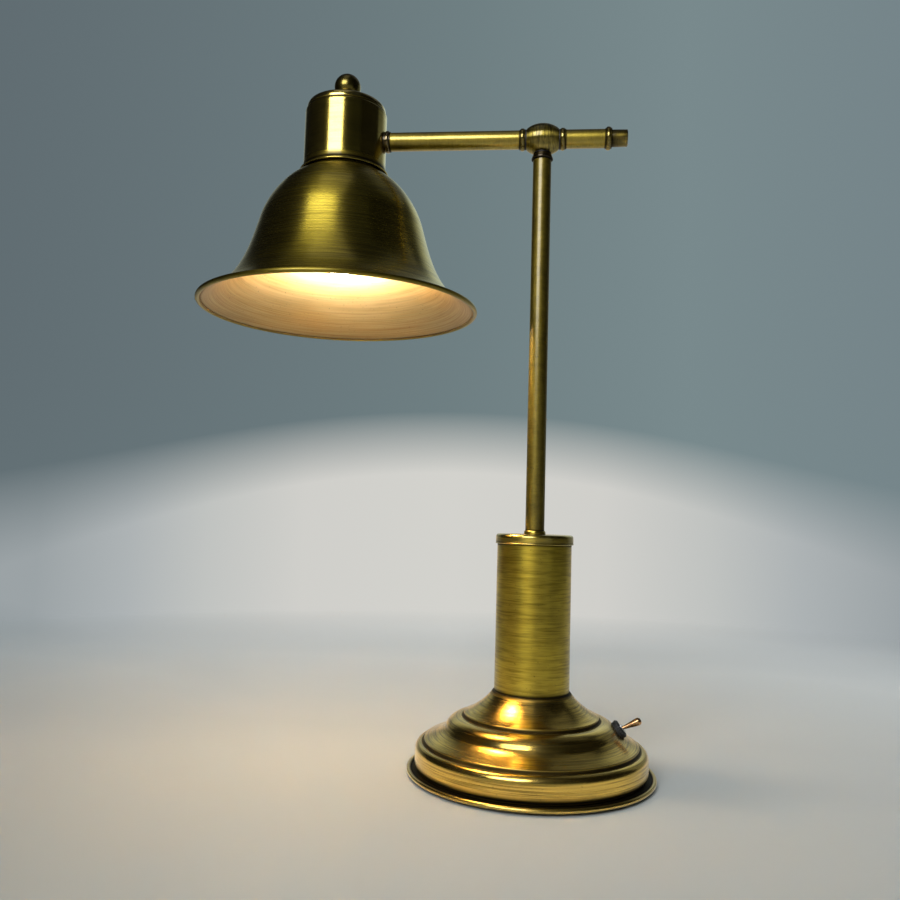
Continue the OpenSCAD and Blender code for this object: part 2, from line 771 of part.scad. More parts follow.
module bulb_cap() {
    color("#c8c4b4") on_shade_axis() revolved([[0, bulb_top], [4.2, bulb_top],
        [5, bulb_top - 1.3], [9, bulb_top - 2.4], [bulb_cap_r, bulb_top - 5.4],
        [bulb_cap_r, bulb_cap_low], [bulb_cap_r - 0.6, bulb_cap_low],
        [bulb_cap_r - 0.6, bulb_top - 5.7], [8.6, bulb_top - 3.2], [4.4, bulb_top - 2],
        [0, bulb_top - 1]]);
}

module bulb_glass() {
    neck = bulb_cap_r - 0.6;
    line = concat([[neck, bulb_cap_low + 3], [neck, bulb_cap_low - 0.2]],
        curve([bulb_cap_r, bulb_cap_low - 0.8], [bulb_cap_r + 0.2, bulb_cap_low - 10],
            [bulb_r, bulb_ball_z + 20.5], [bulb_r, bulb_ball_z], 14),
        tail_of(arc([0, bulb_ball_z], bulb_r, 0, -88, 20)));
    color("#fff3d8") on_shade_axis() revolved(concat(line, [[0, bulb_ball_z - bulb_r],
        [0, bulb_ball_z - bulb_r + glass_t]], reversed(shifted(line, glass_t))));
}

module bulb_stem() {
    color("#e8f0ea") on_shade_axis(bulb_cap_low) revolved([[0, -24], [2.8, -24], [3.2, -6],
        [10.8, 0.6], [10.8, 2.2], [0, 2.2]]);
}

// A ring of filament carried by two bent wires from the stem
module bulb_filament() {
    ring_r = 9;
    drop = 8;
    color("#ffb648") on_shade_axis(bulb_cap_low - 24) {
        translate([0, 0, -drop]) rotate_extrude() translate([ring_r, 0]) circle(r = 0.4, $fn = 16);
        for (s = [-1, 1]) translate([s * 1.6, 0, 0.3])
            rotate([0, s * (180 - atan((ring_r - 1.6) / (drop + 0.3))), 0])
                cylinder(r = 0.3, h = norm([ring_r - 1.6, drop + 0.3]), $fn = 16);
    }
}

felt_pad();
base_pan();
pan_screws();
base_weight();
base_cover();
rod_nut();
rod_washer();
tie_rod();
base_spacer();
column_seat();
column_tube();
column_cap();
post_foot_ring();
post_tube();
swivel_stud();
post_collar();
swivel_washer();
terminal_block();
cable_bush();
riser_lead();
switch_leads();
switch_body();
switch_bush();
switch_gasket();
switch_nut();
switch_lever();
ball_tee();
tee_dog_screw();
arm_tube();
arm_collar_left();
arm_collar_right();
friction_washer_left();
friction_washer_right();
tail_bead();
tail_plug();
cup_collar();
cup_nipple();
saddle_washer();
cup_nut();
arm_lead();
socket_cup();
cup_lid();
finial();
top_nipple();
holder_cap();
holder_body();
screw_shell();
centre_contact();
shade_ring();
shade();
bulb_cap();
bulb_glass();
bulb_stem();
bulb_filament();
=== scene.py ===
"""Desk lamp with a bell shade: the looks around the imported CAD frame. Metres, +Z up.

Outlines are (radius, height) pairs in millimetres along each piece's own axis.
"""

import json
import math

import bmesh
import bpy
from mathutils import Matrix, Vector


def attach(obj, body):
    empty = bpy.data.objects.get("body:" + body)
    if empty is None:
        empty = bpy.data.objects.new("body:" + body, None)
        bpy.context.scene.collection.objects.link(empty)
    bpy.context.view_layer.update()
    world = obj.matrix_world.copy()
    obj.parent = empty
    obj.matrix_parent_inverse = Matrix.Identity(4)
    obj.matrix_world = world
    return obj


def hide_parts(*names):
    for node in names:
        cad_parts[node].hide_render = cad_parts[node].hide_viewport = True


MM = 0.001

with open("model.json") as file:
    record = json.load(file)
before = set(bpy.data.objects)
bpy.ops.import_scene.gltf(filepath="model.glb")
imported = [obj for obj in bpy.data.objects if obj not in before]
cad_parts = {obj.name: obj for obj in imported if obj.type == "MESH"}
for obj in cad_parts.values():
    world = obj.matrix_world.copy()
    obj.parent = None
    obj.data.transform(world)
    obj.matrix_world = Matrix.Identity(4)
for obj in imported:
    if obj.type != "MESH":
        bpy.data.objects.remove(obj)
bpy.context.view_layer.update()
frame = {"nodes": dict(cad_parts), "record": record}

# ---- Sizes, as in the part's source, in millimetres ----

FELT_T = 1.7
PAN_TOP = 3.2
RIM_R, RIM_Z, RIM_BEAD = 78.0, 2.8, 1.4
SKIRT_R, SKIRT_LOW = 74.4, 8.5
COVER_TOP = 52.6
STEP_1 = (44.1, 37.0)
STEP_2 = (69.4, 20.7)
STEP_UP, STEP_DOWN, STEP_LAP = 1.2, 1.0, 1.1
SHEET_T, DRAWN_T = 1.2, 1.0
PAN_HOLE_R = 14.0
BUSH_Z, BUSH_HOLE_R = 11.2, 4.6
ROD_R, ROD_HOLE_R = 5.0, 5.3
COLUMN_R, COLUMN_TOP = 24.25, 152.2
CAP_R, CAP_TOP, CAP_SKIRT = 25.35, 153.4, 6.4
RING_R, RING_TOP_R, RING_H = 7.1, 6.3, 2.6
TUBE_R, BORE_R = 6.25, 5.25
POST_TOP = 407.3
COLLAR_R, COLLAR_TOP_R, COLLAR_H = 6.7, 6.1, 4.7
STUD_R = 4.0
ARM_Z = 422.3
REACH = 137.4
BEAD_R, TAIL_BEAD_R, SHOULDER_R = 7.5, 7.75, 6.8
COLLAR_X, COLLAR_W = 11.7, 3.9
TAIL_X, TAIL_BEAD_W = 42.2, 4.3
PLUG_R, PLUG_LEN, PLUG_SEAT = 5.65, 10.5, 12.0
WINDOW_R = 4.5
CUP_R, CUP_TOP, LIP_Z, LIP_R = 28.4, 443.0, 399.1, 30.7
LIP_BEAD, LIP_FLARE = 0.6, 2.6
CUP_BEAD_W, CUP_BEAD_BORE_R = 3.7, 3.0
NIPPLE_R = 4.0
ARM_END = -REACH + CUP_R + CUP_BEAD_W
LID_R, LID_TOP = 27.5, 449.0
FINIAL_R, FINIAL_Z = 9.2, 462.6
FLANGE_Z, NECK_R = 399.9, 26.6
WAIST = (55.9, 362.0)
SHADE_HOLE = 20.15
SHADE_R, SHADE_LOW, SHADE_BEAD = 93.7, 303.2, 1.6
BULB_R, BULB_Z = 27.5, 356.4
BULB_NECK, BULB_CAP_LOW = 12.5, 396.0
SWITCH_R, SWITCH_Z, SWITCH_SLOPE = 55.9, 30.8, 52.0
SWITCH_BUSH_R = 4.0
GLASS_T = 0.7

# Edges that turn more than this are drawn sharp, in the pieces made here and in CAD nodes
SHARP = math.radians(42)
CAD_SHARP = math.radians(32)
# Corners that turn less than this stay as they are in eased()
SOFT_TURN = math.radians(25)

POST_AXIS = Vector((0, 0, 0))
ARM_AXIS = Vector((0, 0, ARM_Z)) * MM
SHADE_AXIS = Vector((-REACH, 0, 0)) * MM


# ---- Outlines ----

def arc(centre, r, a0, a1, n=16):
    """Points on a circle, from a0 to a1 degrees."""
    angles = [math.radians(a0 + (a1 - a0) * i / n) for i in range(n + 1)]
    return [(centre[0] + r * math.cos(a), centre[1] + r * math.sin(a)) for a in angles]


def curve(p0, p1, p2, p3, n=36):
    """Points on a cubic Bezier curve."""
    out = []
    for i in range(n + 1):
        t = i / n
        u = 1 - t
        w = (u * u * u, 3 * u * u * t, 3 * u * t * t, t * t * t)
        out.append(tuple(sum(k * p[j] for k, p in zip(w, (p0, p1, p2, p3))) for j in (0, 1)))
    return out


def shifted(line, t):
    """The line moved by t to the right of its direction."""
    out = []
    for i, p in enumerate(line):
        a, b = line[max(i - 1, 0)], line[min(i + 1, len(line) - 1)]
        dx, dy = b[0] - a[0], b[1] - a[1]
        n = math.hypot(dx, dy)
        out.append((p[0] + t * dy / n, p[1] - t * dx / n))
    return out


def eased(line, r):
    """The open line with each sharp corner rounded to about the radius r."""
    steps = 3
    out = [line[0]]
    for before, p, after in zip(line, line[1:], line[2:]):
        a, b, c = Vector(before), Vector(p), Vector(after)
        u, v = a - b, c - b
        if u.length < 1e-6 or v.length < 1e-6:
            continue
        turn = math.pi - u.angle(v)
        if turn < SOFT_TURN:
            out.append(p)
            continue
        cut = min(r * math.tan(turn / 2), 0.45 * u.length, 0.45 * v.length)
        s, e = b + u.normalized() * cut, b + v.normalized() * cut
        for k in range(steps + 1):
            t = k / steps
            q = s * (1 - t) ** 2 + b * 2 * t * (1 - t) + e * t * t
            out.append((q.x, q.y))
    out.append(line[-1])
    return out


def walled(line, t):
    """A closed outline: the line and its copy, t to the right."""
    return line + shifted(line, t)[::-1]


def ends(low, high, r):
    """The outside of a tube, with extra rings near its ends."""
    return [(r, low + h) for h in (0, 0.3, 0.6, 1, 1.5, 3)] + [(r, high - h)
            for h in (3, 1.5, 1, 0.6, 0.3, 0)]


def bead(r, width, inner):
    """A collar with a round crown between two narrow shoulders, from height 0."""
    s = 0.55
    w = width / 2 - s
    h = r - SHOULDER_R
    crown = [(SHOULDER_R + h * math.cos(math.radians(a)), s + w - w * math.sin(math.radians(a)))
             for a in range(90, -91, -9)]
    return ([(inner, 0), (SHOULDER_R, 0), (SHOULDER_R, s)] + crown
            + [(SHOULDER_R, width - s), (SHOULDER_R, width), (inner, width)])


# ---- Meshes ----

def lathe(name, outline, at=POST_AXIS, axis="Z", segments=160, closed=True, dark=(), inside=None):
    """A solid of revolution. dark lists (radius, height, width) marks in millimetres, which are
    tarnish in hollows and joints and painted shade in gaps and on undersides, and inside the
    part of the outline that takes the second material."""
    mesh = bpy.data.meshes.new(name)
    bm = bmesh.new()
    # Each vertex carries a dark mark: tarnish in hollows and joints, painted shade in gaps and on
    # undersides
    layer = bm.verts.layers.float.new("patina_and_shade")
    rings = []
    for r, h in outline:
        shade = 0.0
        for mr, mh, mw in dark:
            shade = max(shade, math.exp(-((r - mr) ** 2 + (h - mh) ** 2) / (mw * mw)))
        if r < 1e-6:
            places = [(0.0, 0.0, h)]
        else:
            places = [(r * math.cos(2 * math.pi * k / segments),
                       r * math.sin(2 * math.pi * k / segments), h) for k in range(segments)]
        ring = []
        for x, y, z in places:
            co = Vector((x, y, z)) if axis == "Z" else Vector((z, x, y))
            v = bm.verts.new(co * MM)
            v[layer] = shade
            ring.append(v)
        rings.append(ring)
    n = len(rings)
    for i in range(n if closed else n - 1):
        a, b = rings[i], rings[(i + 1) % n]
        for k in range(segments):
            q = (k + 1) % segments
            corners = [a[k % len(a)], b[k % len(b)], b[q % len(b)], a[q % len(a)]]
            corners = [v for j, v in enumerate(corners) if v not in corners[:j]]
            if len(corners) > 2:
                face = bm.faces.new(corners)
                face.smooth = True
                if inside and inside[0] <= i < inside[1]:
                    face.material_index = 1
    bmesh.ops.recalc_face_normals(bm, faces=bm.faces)
    bm.to_mesh(mesh)
    bm.free()
    mesh.set_sharp_from_angle(angle=SHARP)
    ob = bpy.data.objects.new(name, mesh)
    ob.location = at
    bpy.context.scene.collection.objects.link(ob)
    return ob


def drilled(ob, *cutters):
    """Cuts cylinders out of a mesh: (centre, direction, radius, length) in millimetres."""
    for centre, direction, radius, length in cutters:
        bpy.ops.mesh.primitive_cylinder_add(vertices=64, radius=radius * MM, depth=length * MM,
                                            location=Vector(centre) * MM)
        tool = bpy.context.object
        tool.rotation_mode = "QUATERNION"
        tool.rotation_quaternion = Vector(direction).to_track_quat("Z", "Y")
        bpy.context.view_layer.update()
        cut = ob.modifiers.new("hole", "BOOLEAN")
        cut.operation = "DIFFERENCE"
        cut.solver = "EXACT"
        cut.object = tool
        bpy.context.view_layer.objects.active = ob
        bpy.ops.object.modifier_apply(modifier=cut.name)
        bpy.data.objects.remove(tool, do_unlink=True)
    ob.data.set_sharp_from_angle(angle=SHARP)
    return ob


# ---- Materials ----

def principled(name):
    mat = bpy.data.materials.new(name)
    mat.use_nodes = True
    nodes, links = mat.node_tree.nodes, mat.node_tree.links
    return mat, nodes, links, nodes["Principled BSDF"]


def calculator(nodes, links):
    """A short call that adds a maths node to the tree and gives its output."""
    def do(operation, a, b=None):
        node = nodes.new("ShaderNodeMath")
        node.operation = operation
        for i, v in enumerate((a, b)):
            if v is None:
                continue
            if isinstance(v, (int, float)):
                node.inputs[i].default_value = v
            else:
                links.new(v, node.inputs[i])
        return node.outputs[0]

    return do


def distance(do, x, y):
    """The length of a flat vector."""
    return do("SQRT", do("ADD", do("MULTIPLY", x, x), do("MULTIPLY", y, y)))


def ramp(nodes, links, value, stops):
    """A colour ramp over a value; each stop is a place and a grey level or a colour."""
    node = nodes.new("ShaderNodeValToRGB")
    links.new(value, node.inputs[0])
    elements = node.color_ramp.elements
    while len(elements) < len(stops):
        elements.new(0.5)
    for e, (place, colour) in zip(elements, stops):
        e.position = place
        e.color = (colour, colour, colour, 1) if isinstance(colour, (int, float)) else (*colour, 1)
    return node.outputs[0]


def mixed(nodes, links, factor, a, b, blend="MIX"):
    node = nodes.new("ShaderNodeMix")
    node.data_type = "RGBA"
    node.blend_type = blend
    for socket, v in ((node.inputs[0], factor), (node.inputs[6], a), (node.inputs[7], b)):
        if isinstance(v, (int, float)):
            socket.default_value = v
        elif isinstance(v, tuple):
            socket.default_value = (*v, 1)
        else:
            links.new(v, socket)
    return node.outputs[2]


def round_axis(nodes, links, at, axis):
    """Radius, height and direction round an axis, from the object's own coordinates."""
    do = calculator(nodes, links)
    coords = nodes.new("ShaderNodeTexCoord")
    move = nodes.new("ShaderNodeMapping")
    move.inputs["Location"].default_value = [-c for c in at]
    links.new(coords.outputs["Object"], move.inputs["Vector"])
    split = nodes.new("ShaderNodeSeparateXYZ")
    links.new(move.outputs[0], split.inputs[0])
    x, y, z = split.outputs
    if axis == "X":
        x, y, z = y, z, x
    r = distance(do, x, y)
    safe = do("MAXIMUM", r, 1e-5)
    return r, z, do("DIVIDE", x, safe), do("DIVIDE", y, safe), move.outputs[0]


def turned_noise(nodes, links, place, fine, around, detail, seed):
    """Noise with fine detail across the turned lines and slow change around the axis."""
    do = calculator(nodes, links)
    r, h, c, s, _ = place
    join = nodes.new("ShaderNodeCombineXYZ")
    for socket, v, k in zip(join.inputs, (r, h, c), (fine, fine, around)):
        links.new(do("MULTIPLY", v, k), socket)
    noise = nodes.new("ShaderNodeTexNoise")
    noise.noise_dimensions = "4D"
    noise.inputs["Scale"].default_value = 1.0
    noise.inputs["Detail"].default_value = detail
    noise.inputs["Roughness"].default_value = 0.6
    links.new(join.outputs[0], noise.inputs["Vector"])
    links.new(do("ADD", do("MULTIPLY", s, around), seed), noise.inputs["W"])
    return noise.outputs[0]


GOLD = (0.54, 0.405, 0.065)
OLIVE = (0.25, 0.185, 0.026)
# Near-black for specks and tarnish, and for the painted shade at the vertex marks
PATINA_AND_SHADE = (0.006, 0.005, 0.004)

# Turned noise: cells to a metre across the lines, change around the axis, detail
LINES = (2600, 1.6, 3.0)
GRIME = (1100, 1.5, 2.0)
COARSE = (420, 1.1, 2.0)
CLOUD = (75, 1.2, 2.0)
# Steps between the seeds of one brass's noises
COARSE_SEED, CLOUD_SEED, GRIME_SEED = 7, 13, 19
SPECK_SCALE = 900
LACQUER_IOR = 1.9
LINE_DEPTH = 0.03 * MM


def brass(name, axis="Z", at=(0, 0, 0), rough=0.26, brushed=1.0, bands=1.0, tint=GOLD,
          deep=OLIVE, polish=0.5, aniso=0.6, lacquer_rough=0.12, painted_shade_fade=None, seed=0.0):
    """Antiqued brass: turned lines round the axis, cloudy bands of tarnish, clear lacquer, and
    black at the vertex marks, partly tarnish and partly painted shade. Two heights in
    millimetres and a tone, when given, turn the brass to the tone at the first height and back
    by the second: painted shade."""
    mat, nodes, links, bsdf = principled(name)
    do = calculator(nodes, links)
    place = round_axis(nodes, links, at, axis)
    lines = turned_noise(nodes, links, place, *LINES, seed)
    coarse = turned_noise(nodes, links, place, *COARSE, seed + COARSE_SEED)
    cloud = turned_noise(nodes, links, place, *CLOUD, seed + CLOUD_SEED)
    dirt = turned_noise(nodes, links, place, *GRIME, seed + GRIME_SEED)
    dots = nodes.new("ShaderNodeTexNoise")
    dots.inputs["Scale"].default_value = SPECK_SCALE
    dots.inputs["Detail"].default_value = 1
    links.new(place[4], dots.inputs["Vector"])
    # The vertex marks: tarnish, and painted shade in gaps and on undersides
    patina_and_shade = nodes.new("ShaderNodeAttribute")
    patina_and_shade.attribute_name = "patina_and_shade"
    patina_and_shade_fac = patina_and_shade.outputs["Fac"]

    worn = do("ADD", do("MULTIPLY", cloud, 0.62 * bands), do("MULTIPLY", coarse, 0.38 * bands))
    worn = ramp(nodes, links, worn, [(0.34 * bands, 0.0), (0.60 * bands + 0.04, 1.0)])
    body = mixed(nodes, links, worn, deep, tint)
    # Painted shade: the brass turns to a darker tone towards a given height
    if painted_shade_fade:
        low, high, tone = painted_shade_fade
        span = do("DIVIDE", do("SUBTRACT", place[1], low * MM), (high - low) * MM)
        body = mixed(nodes, links, ramp(nodes, links, span, [(0.0, 1.0), (1.0, 0.0)]), body, tone)
    streak = do("MULTIPLY", ramp(nodes, links, lines, [(0.36, 0.0), (0.60, 1.0)]), 0.42 * brushed)
    body = mixed(nodes, links, streak, body, tuple(min(1.0, 1.35 * c) for c in tint))
    grime = do("MULTIPLY", ramp(nodes, links, dirt, [(0.38, 1.0), (0.52, 0.0)]), 0.4 * brushed)
    body = mixed(nodes, links, grime, body, tuple(0.35 * c for c in deep))
    speck = do("MULTIPLY", ramp(nodes, links, dots.outputs[0], [(0.24, 1.0), (0.29, 0.0)]), 0.5)
    body = mixed(nodes, links, speck, body, PATINA_AND_SHADE)
    # The vertex marks blacken the brass, as tarnish and as painted shade
    body = mixed(nodes, links, patina_and_shade_fac, body, PATINA_AND_SHADE)
    links.new(body, bsdf.inputs["Base Color"])

    bsdf.inputs["Metallic"].default_value = 1.0
    spread = do("ADD", rough - 0.05, do("MULTIPLY", lines, 0.10 * brushed))
    spread = do("ADD", spread, do("MULTIPLY", grime, 0.08))
    spread = do("ADD", spread, do("MULTIPLY", patina_and_shade_fac, 0.45))
    links.new(spread, bsdf.inputs["Roughness"])
    bsdf.inputs["Anisotropic"].default_value = aniso
    bsdf.inputs["Anisotropic Rotation"].default_value = 0.25
    tangent = nodes.new("ShaderNodeTangent")
    tangent.direction_type = "RADIAL"
    tangent.axis = axis
    links.new(tangent.outputs[0], bsdf.inputs["Tangent"])
    unmarked = do("SUBTRACT", 1.0, patina_and_shade_fac)
    links.new(do("MULTIPLY", unmarked, polish), bsdf.inputs["Coat Weight"])
    bsdf.inputs["Coat Roughness"].default_value = lacquer_rough
    bsdf.inputs["Coat IOR"].default_value = LACQUER_IOR
    bump = nodes.new("ShaderNodeBump")
    bump.inputs["Strength"].default_value = 0.22 * brushed
    bump.inputs["Distance"].default_value = LINE_DEPTH
    links.new(lines, bump.inputs["Height"])
    links.new(bump.outputs[0], bsdf.inputs["Normal"])
    return mat


def plain(name, colour, rough, metallic=0.0, scale=900.0, amount=0.25, bump_mm=0.02, coat=0.0):
    """A finish with fine mottling in colour, roughness and relief."""
    mat, nodes, links, bsdf = principled(name)
    do = calculator(nodes, links)
    coords = nodes.new("ShaderNodeTexCoord")
    noise = nodes.new("ShaderNodeTexNoise")
    noise.inputs["Scale"].default_value = scale
    noise.inputs["Detail"].default_value = 4
    links.new(coords.outputs["Object"], noise.inputs["Vector"])
    low = tuple(c * (1 - amount) for c in colour)
    high = tuple(min(1.0, c * (1 + amount)) for c in colour)
    links.new(mixed(nodes, links, noise.outputs[0], low, high), bsdf.inputs["Base Color"])
    spread = do("ADD", rough - 0.08, do("MULTIPLY", noise.outputs[0], 0.16))
    links.new(spread, bsdf.inputs["Roughness"])
    bsdf.inputs["Metallic"].default_value = metallic
    bsdf.inputs["Coat Weight"].default_value = coat
    bump = nodes.new("ShaderNodeBump")
    bump.inputs["Strength"].default_value = 0.5
    bump.inputs["Distance"].default_value = bump_mm * MM
    links.new(noise.outputs[0], bump.inputs["Height"])
    links.new(bump.outputs[0], bsdf.inputs["Normal"])
    return mat


def glowing(name, colour, light, strength):
    """Something that is lit from within."""
    mat, nodes, links, bsdf = principled(name)
    coords = nodes.new("ShaderNodeTexCoord")
    noise = nodes.new("ShaderNodeTexNoise")
    noise.inputs["Scale"].default_value = 60
    links.new(coords.outputs["Object"], noise.inputs["Vector"])
    links.new(mixed(nodes, links, noise.outputs[0], tuple(0.96 * c for c in colour), colour),
              bsdf.inputs["Base Color"])
    bsdf.inputs["Roughness"].default_value = 0.35
    bsdf.inputs["Emission Color"].default_value = (*light, 1)
    bsdf.inputs["Emission Strength"].default_value = strength
    return mat


# ---- Pieces ----

def dress(ob, body, nodes, slot, *mats):
    """Gives a piece its materials and says which body and nodes it stands for; slot is not used."""
    for mat in mats:
        ob.data.materials.append(mat)
    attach(ob, body)
    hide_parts(*nodes)
    return ob


def base_lines():
    """Outside and inside of the base cover: each tier ends in an edge over an upright step."""
    (r1, z1), (r2, z2) = STEP_1, STEP_2

    def edge(r, z):
        return (r - 0.9, z + STEP_UP)

    def start(r, z):
        return (r + STEP_LAP, z - STEP_DOWN)

    def step(r, z):
        return [(r - 0.82, z + 0.8), (r - 0.72, z + 0.3), (r - 0.6, z - 0.4),
                (r - 0.5, z - STEP_DOWN + 0.1), (r, z - STEP_DOWN - 0.1)]

    def under(r, z):
        return [(r - 0.5 - SHEET_T, z - STEP_DOWN), (r - 0.7, z - STEP_DOWN - SHEET_T)]

    head = [(ROD_HOLE_R, COVER_TOP)] + arc((COLUMN_R + 0.05, COVER_TOP - 1.6), 1.6, 90, 40, 8)
    tier_1 = curve((COLUMN_R + 1.35, COVER_TOP - 0.7), (COLUMN_R + 3.65, COVER_TOP - 4),
                   (r1 - 9.6, z1 + 4.8), edge(r1, z1))
    tier_2 = (curve(start(r1, z1), (r1 + 6.4, z1 - 1.2),
                    (r1 + 9.5, z1 - 3.8), (r1 + 11.1, z1 - 7.4), 24)
              + curve((r1 + 11.1, z1 - 7.4), (r1 + 12.9, z1 - 10.6),
                      (r2 - 6.5, z2 + 3.7), edge(r2, z2), 24)[1:])
    tier_3 = (curve(start(r2, z2), (SKIRT_R - 1.5, z2 - 1.2),
                    (SKIRT_R, z2 - 3.1), (SKIRT_R, z2 - 6), 20)
              + curve((SKIRT_R, SKIRT_LOW), (SKIRT_R, SKIRT_LOW - 2.9),
                      (SKIRT_R - 1.3, PAN_TOP + 0.8), (SKIRT_R - 2.9, PAN_TOP), 14))
    outer = head + tier_1[1:] + step(r1, z1) + tier_2 + step(r2, z2) + tier_3
    inner = (shifted(head + tier_1[1:], SHEET_T) + under(r1, z1)
             + shifted(tier_2, SHEET_T) + under(r2, z2) + shifted(tier_3, SHEET_T))
    return eased(outer, 0.25), inner


def make_base():
    outer, inner = base_lines()
    # Dark marks: the line round the column's foot is a dark joint with painted shade in it, and the
    # two low marks paint shade into the channel between skirt and rim
    marks = [(COLUMN_R + 0.5, COVER_TOP - 0.4, 1.7), (SKIRT_R - 0.5, PAN_TOP + 2.3, 2.2),
             (SKIRT_R - 2.5, PAN_TOP + 0.3, 2.5)]
    # Each step gets dark marks on its edge, upright face and foot: partly tarnish, partly painted
    # shade
    for r, z in (STEP_1, STEP_2):
        marks += [(r - 0.6, z + 0.1, 0.75), (r - 0.5, z - 0.6, 0.8), (r + 0.1, z - 1.1, 0.8)]
    cover = lathe("cover_skin", outer + inner[::-1], dark=marks, segments=192)
    slope = math.radians(SWITCH_SLOPE)
    drilled(cover, ((SWITCH_R, 0, SWITCH_Z), (math.sin(slope), 0, math.cos(slope)),
                    SWITCH_BUSH_R, 12), ((0, SKIRT_R, BUSH_Z), (0, 1, 0), BUSH_HOLE_R, 12))
    dress(cover, "stand", ["base_cover"], "antique_brass",
          brass("brass_base", rough=0.19, bands=0.9, brushed=1.5, polish=0.12, aniso=0.3,
                lacquer_rough=0.25, tint=(0.65, 0.45, 0.095), deep=(0.24, 0.15, 0.02), seed=3))

    rim = [(PAN_HOLE_R, FELT_T), (RIM_R - RIM_BEAD, FELT_T)]
    rim += arc((RIM_R, RIM_Z), RIM_BEAD, 204, 518, 30)
    rim += [(RIM_R - RIM_BEAD, PAN_TOP), (PAN_HOLE_R, PAN_TOP)]
    # Dark marks paint shade into the channel inside the rim and under the rim's bead
    pan = lathe("pan_rim", rim, dark=[(RIM_R - 3.2, PAN_TOP, 2.2), (RIM_R - RIM_BEAD, PAN_TOP, 0.8),
                                      (RIM_R, RIM_Z - RIM_BEAD, 1.0)],
                segments=192)
    dress(pan, "stand", ["base_pan"], "antique_brass",
          brass("brass_rim", rough=0.26, bands=0.6, polish=0.3, aniso=0.3,
                tint=(0.60, 0.42, 0.10), seed=5))


def make_column():
    low = CAP_TOP - CAP_SKIRT
    tube = (ends(COVER_TOP, low, COLUMN_R)
            + [(COLUMN_R, COLUMN_TOP), (COLUMN_R - SHEET_T, COLUMN_TOP),
               (COLUMN_R - SHEET_T, COVER_TOP)])
    column = lathe("column_shell", tube, dark=[(COLUMN_R, COVER_TOP, 1.3), (COLUMN_R, low, 0.8)])
    dress(column, "stand", ["column_tube"], "antique_brass",
          brass("brass_column", rough=0.33, bands=1.2, polish=0.1, tint=(0.51, 0.38, 0.042),
                deep=(0.23, 0.165, 0.016), seed=11))
    cap = ([(ROD_R, CAP_TOP)] + arc((CAP_R - 2, CAP_TOP - 2), 2, 90, 0, 12)
           + [(CAP_R, low + 1.35), (CAP_R - 0.25, low + 1.1)]
           + arc((CAP_R - 0.3, low + 0.5), 0.5, 75, -90, 10)
           + [(COLUMN_R, low), (COLUMN_R, COLUMN_TOP), (ROD_R, COLUMN_TOP)])
    cap_ob = lathe("column_cap_shell", cap, dark=[(CAP_R - 0.3, low + 1.15, 0.35),
                   (COLUMN_R, low, 0.6), (RING_R, CAP_TOP, 0.7)])
    dress(cap_ob, "stand", ["column_cap"], "antique_brass",
          brass("brass_cap", rough=0.26, bands=0.7, seed=17))


def make_post():
    ring = ([(ROD_R, 0), (RING_R, 0), (RING_R, 0.6)]
            + curve((RING_R, 0.6), (RING_R, 1.7), (6.9, 2.2), (RING_TOP_R, RING_H), 10)[1:]
            + [(ROD_R, RING_H)])
    ring = [(r, h + CAP_TOP) for r, h in ring]
    small = brass("brass_small", rough=0.3, bands=0.5, brushed=0.6, polish=0.2, seed=23)
    dark = brass("brass_black", rough=0.3, bands=0.5, brushed=0.6, polish=0.3,
                 tint=(0.09, 0.065, 0.03), deep=(0.03, 0.022, 0.012), seed=25)
    low = CAP_TOP + RING_H
    foot = lathe("foot_ring", ring, dark=[(RING_R, CAP_TOP, 0.5), (RING_TOP_R, low, 0.45)],
                 segments=96)
    dress(foot, "stand", ["post_foot_ring"], "antique_brass", small)
    tube = ends(low, POST_TOP, TUBE_R) + [(ROD_R, POST_TOP), (ROD_R, low)]
    post = lathe("post_shell", tube, dark=[(TUBE_R, low, 0.5), (TUBE_R, POST_TOP, 0.4)],
                 segments=96)
    dress(post, "stand", ["post_tube"], "antique_brass",
          brass("brass_post", rough=0.56, bands=0.8, brushed=0.4, aniso=0.0, polish=0.4,
                lacquer_rough=0.24, tint=(0.20, 0.15, 0.018), deep=(0.10, 0.075, 0.008), seed=29))
    collar = ([(STUD_R, 0), (COLLAR_R, 0)] + arc((6.35, 1.05), 1.05, -60, 40, 12)
              + curve((7.12, 1.9), (6.9, 2.9), (6.4, 3.6), (COLLAR_TOP_R, COLLAR_H), 12)
              + [(STUD_R, COLLAR_H)])
    collar = [(r, h + POST_TOP) for r, h in collar]
    marks = [(COLLAR_R, POST_TOP, 0.8), (COLLAR_TOP_R, POST_TOP + COLLAR_H, 1.2)]
    ob = lathe("post_collar_bead", collar, dark=marks, segments=96)
    dress(ob, "stand", ["post_collar"], "antique_brass", dark)


